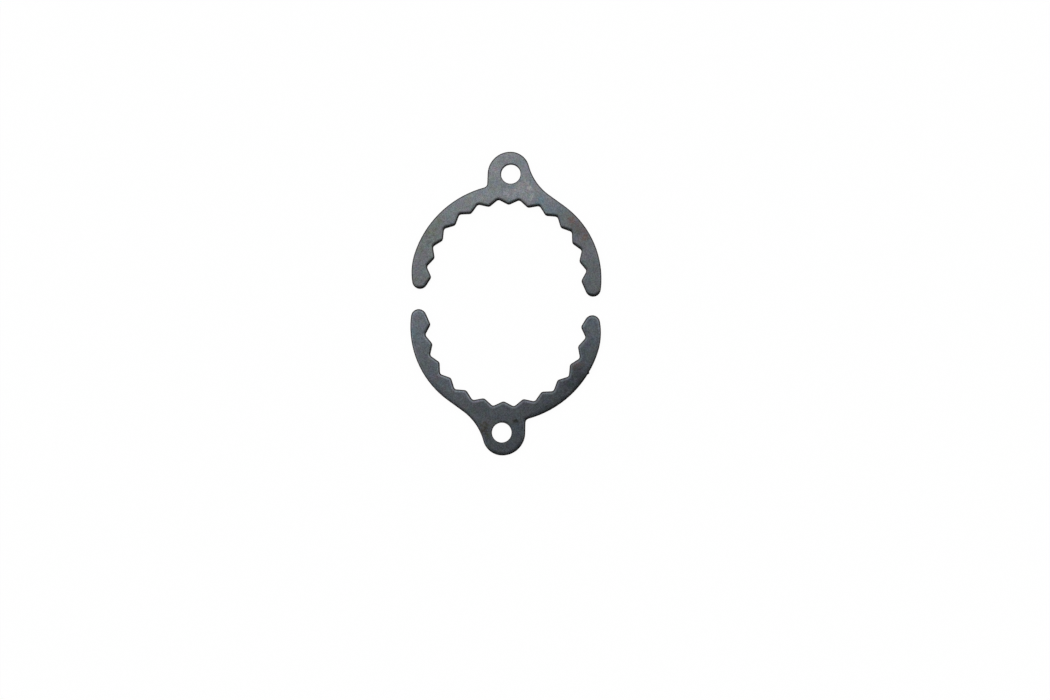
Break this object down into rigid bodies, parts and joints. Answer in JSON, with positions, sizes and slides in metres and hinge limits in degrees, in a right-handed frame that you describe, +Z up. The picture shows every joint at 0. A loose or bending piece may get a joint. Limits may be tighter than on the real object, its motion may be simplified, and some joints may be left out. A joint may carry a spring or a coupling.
{
  "type": "pair of lock tabs",
  "caption": "Pair of flat C-shaped steel lock tabs: the toothed inner edge grips a hexagon nut, and an ear takes the bolt that holds the tab.",
  "frame": {"origin": "on the underside, midway between the two nut centres", "axes": "+Y towards the ear of the upper tab, +Z up out of the top faces, X across the pair"},
  "size_m": [0.0846, 0.1348, 0.0015],
  "materials": {
    "oxidised_steel": "heat-treated blue-grey steel with a thin uneven oxide"
  },
  "bodies": {
    "root": {"upper_lock_tab": "oxidised_steel", "lower_lock_tab": "oxidised_steel"}
  },
  "joints": []
}
